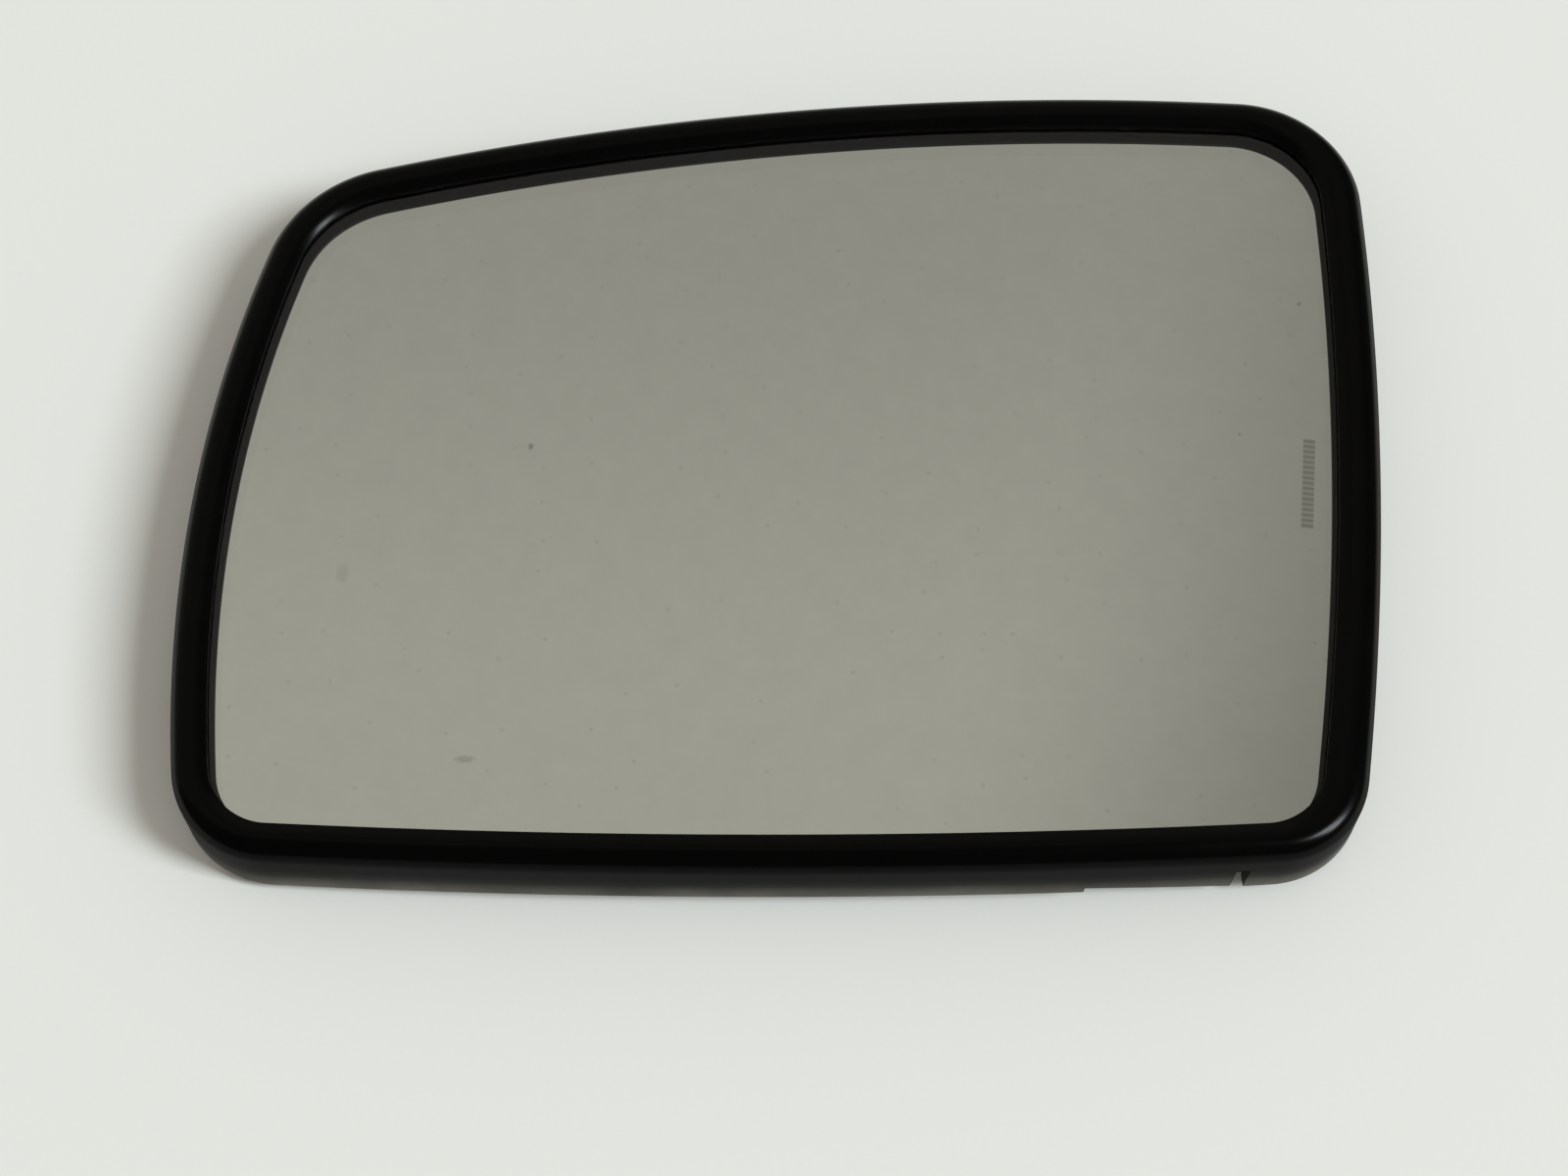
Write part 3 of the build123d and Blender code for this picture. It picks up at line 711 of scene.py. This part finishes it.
# polyester heater film: dull dark sheet with a faint ripple from its adhesive
def heaterFilm():
    material, tree = newMaterial("polyester_heater_film")
    where = addNode(tree, "ShaderNodeTexCoord").outputs["Object"]
    ripple = addNode(tree, "ShaderNodeTexNoise", {"Scale": 1 / (heater["ripple"] * mm), "Detail": 2.0},
                     {"Vector": where}).outputs["Fac"]
    dark, pale = [linearColour(text) for text in heater["film"]]
    tint = addNode(tree, "ShaderNodeMix", {6: dark, 7: pale}, {0: ripple}, data_type="RGBA").outputs[2]
    bump = addNode(tree, "ShaderNodeBump", {"Strength": 0.15, "Distance": heater["rippleDepth"] * mm},
                   {"Height": ripple}).outputs[0]
    shader = addNode(tree, "ShaderNodeBsdfPrincipled", {"Roughness": heater["rough"], "IOR": 1.6},
                     {"Base Color": tint, "Normal": bump})
    addNode(tree, "ShaderNodeOutputMaterial", links={"Surface": shader.outputs[0]})
    return material


# the rolling lines are coarser than real ones, so that they show
terminals = {"brass": ("#c9ad72", "#dcc48c"), "lineLength": 3.0, "lineWidth": 0.11, "rough": (0.24, 0.42)}


# rolled brass strip: fine lengthwise rolling lines and a slight tarnish
def rolledBrass():
    material, tree = newMaterial("rolled_brass")
    where = addNode(tree, "ShaderNodeTexCoord").outputs["Object"]
    length, width = terminals["lineLength"] * mm, terminals["lineWidth"] * mm
    drawn = addNode(tree, "ShaderNodeMapping", {"Scale": (1 / length, 1 / width, 1 / length)},
                    {"Vector": where}).outputs[0]
    lines = addNode(tree, "ShaderNodeTexNoise", {"Scale": 1.0, "Detail": 2.0},
                    {"Vector": drawn}).outputs["Fac"]
    dark, pale = [linearColour(text) for text in terminals["brass"]]
    tint = addNode(tree, "ShaderNodeMix", {6: dark, 7: pale}, {0: lines}, data_type="RGBA").outputs[2]
    low, high = terminals["rough"]
    rough = addNode(tree, "ShaderNodeMapRange", {"To Min": low, "To Max": high}, {"Value": lines}).outputs[0]
    shader = addNode(tree, "ShaderNodeBsdfPrincipled", {"Metallic": 1.0},
                     {"Base Color": tint, "Roughness": rough})
    addNode(tree, "ShaderNodeOutputMaterial", links={"Surface": shader.outputs[0]})
    return material


film, brass = heaterFilm(), rolledBrass()
for nodeName, finish in (("heater_pad", film), ("terminal_upper", brass), ("terminal_lower", brass)):
    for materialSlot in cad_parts[nodeName].material_slots:
        materialSlot.material = finish
print("film and terminals finished")


# pale paper floor, one large soft key panel, a dim room for the mirror and the camera
studio = {
    "floor": ("#e1e4de", "#e3e6e0"), "fibre": 1.1, "floorReach": 3,
    "keyAzimuth": -18.5, "keyElevation": 43, "keyDistance": 12.0, "keySize": (2.6, 5.2),
    "keyColour": (0.96, 1.0, 1.05), "keyShare": 0.60,
    "ambient": 0.43, "ambientTint": (1.07, 1.0, 0.93), "backdrop": "#e2e5df",
    "lens": 58.5, "sensor": 36, "aim": (-1.6, -26.4, 19.2), "distance": 410, "tilt": 25.5,
    # what the mirror shows: a pale ceiling that darkens to the right and away, over dim walls
    "ceiling": (0.402, 0.396, 0.360), "dimmest": 0.28,
    # direction, from, to, brightness at each; their product stops at 1
    "fades": [((1, -0.35, 0), -0.031, 0.339, 1.0, 0.45), ((1, 0, 0), 0.36, 0.60, 1.0, 0.16),
              ((1, 0, 0), -0.60, -0.36, 2.2, 1.0), ((0, 1, 0), 0.30, 0.66, 1.0, 0.79),
              ((0, 1, 0), 0.68, 0.84, 1.0, 1.6), ((0, 1, 0), -0.05, 0.20, 0.10, 1.0),
              ((0, 0, 1), 0.0, 0.5, 0.4, 1.0)],
}

floorMesh = bpy.data.meshes.new("floor")
reach = studio["floorReach"]
floorMesh.from_pydata([(x * reach, y * reach, 0) for x, y in ((-1, -1), (1, -1), (1, 1), (-1, 1))], [],
                      [(0, 1, 2, 3)])
floor = placeObject("floor", floorMesh)
paper, paperTree = newMaterial("pale_paper_floor")
where = addNode(paperTree, "ShaderNodeTexCoord").outputs["Object"]
fibre = addNode(paperTree, "ShaderNodeTexNoise", {"Scale": 1 / (studio["fibre"] * mm), "Detail": 3.0},
                {"Vector": where}).outputs["Fac"]
dark, pale = [linearColour(text) for text in studio["floor"]]
tint = addNode(paperTree, "ShaderNodeMix", {6: dark, 7: pale}, {0: fibre}, data_type="RGBA").outputs[2]
shader = addNode(paperTree, "ShaderNodeBsdfPrincipled", {"Roughness": 0.9, "Specular IOR Level": 0.1},
                 {"Base Color": tint})
addNode(paperTree, "ShaderNodeOutputMaterial", links={"Surface": shader.outputs[0]})
floorMesh.materials.append(paper)

azimuth, elevation = math.radians(studio["keyAzimuth"]), math.radians(studio["keyElevation"])
keyFlat = Vector((math.cos(azimuth), math.sin(azimuth), 0))
keyWay = keyFlat * math.cos(elevation) + Vector((0, 0, math.sin(elevation)))
key = bpy.data.lights.new("keyPanel", "AREA")
key.shape = "RECTANGLE"
key.size, key.size_y = studio["keySize"]
key.color = studio["keyColour"]
# power that lights a level floor to the key's share of a plain level
key.energy = studio["keyShare"] * (math.pi * studio["keyDistance"]) ** 2 / math.sin(elevation)
keyLamp = placeObject("keyPanel", key)
keyLamp.location = keyWay * studio["keyDistance"]
keyLamp.rotation_euler = keyWay.to_track_quat("Z", "Y").to_euler()

world = bpy.data.worlds.new("studio")
bpy.context.scene.world = world
world.use_nodes = True
sky = world.node_tree
sky.nodes.clear()
way = addNode(sky, "ShaderNodeTexCoord").outputs["Generated"]
fade = None
for axis, start, end, first, last in studio["fades"]:
    along = addNode(sky, "ShaderNodeVectorMath", {1: axis}, {0: way},
                    operation="DOT_PRODUCT").outputs["Value"]
    step = addNode(sky, "ShaderNodeMapRange",
                   {"From Min": start, "From Max": end, "To Min": first, "To Max": last},
                   {"Value": along}, interpolation_type="SMOOTHSTEP").outputs[0]
    if fade:
        step = addNode(sky, "ShaderNodeMath", links={0: fade, 1: step}, operation="MULTIPLY").outputs[0]
    fade = step
fade = addNode(sky, "ShaderNodeMath", {1: studio["dimmest"]}, {0: fade}, operation="MAXIMUM").outputs[0]
room = addNode(sky, "ShaderNodeMix", {6: (0, 0, 0, 1), 7: (*studio["ceiling"], 1)}, {0: fade},
               data_type="RGBA").outputs[2]
ray = addNode(sky, "ShaderNodeLightPath").outputs
ambient = [studio["ambient"] * tint for tint in studio["ambientTint"]] + [1]
glossy = addNode(sky, "ShaderNodeMix", {6: ambient}, {0: ray["Is Glossy Ray"], 7: room},
                 data_type="RGBA").outputs[2]
seen = addNode(sky, "ShaderNodeMix", {7: linearColour(studio["backdrop"])},
               {0: ray["Is Camera Ray"], 6: glossy}, data_type="RGBA").outputs[2]
shine = addNode(sky, "ShaderNodeBackground", links={"Color": seen})
addNode(sky, "ShaderNodeOutputWorld", links={"Surface": shine.outputs[0]})

cameraData = bpy.data.cameras.new("photoCamera")
cameraData.lens, cameraData.sensor_width = studio["lens"], studio["sensor"]
camera = placeObject("photoCamera", cameraData)
tilt = math.radians(studio["tilt"])
viewWay = Vector((0, -math.sin(tilt), math.cos(tilt)))
camera.location = (Vector(studio["aim"]) + viewWay * studio["distance"]) * mm
camera.rotation_euler = (tilt, 0, 0)
bpy.context.scene.camera = camera
bpy.context.scene.view_settings.view_transform = "Standard"
print("studio set")
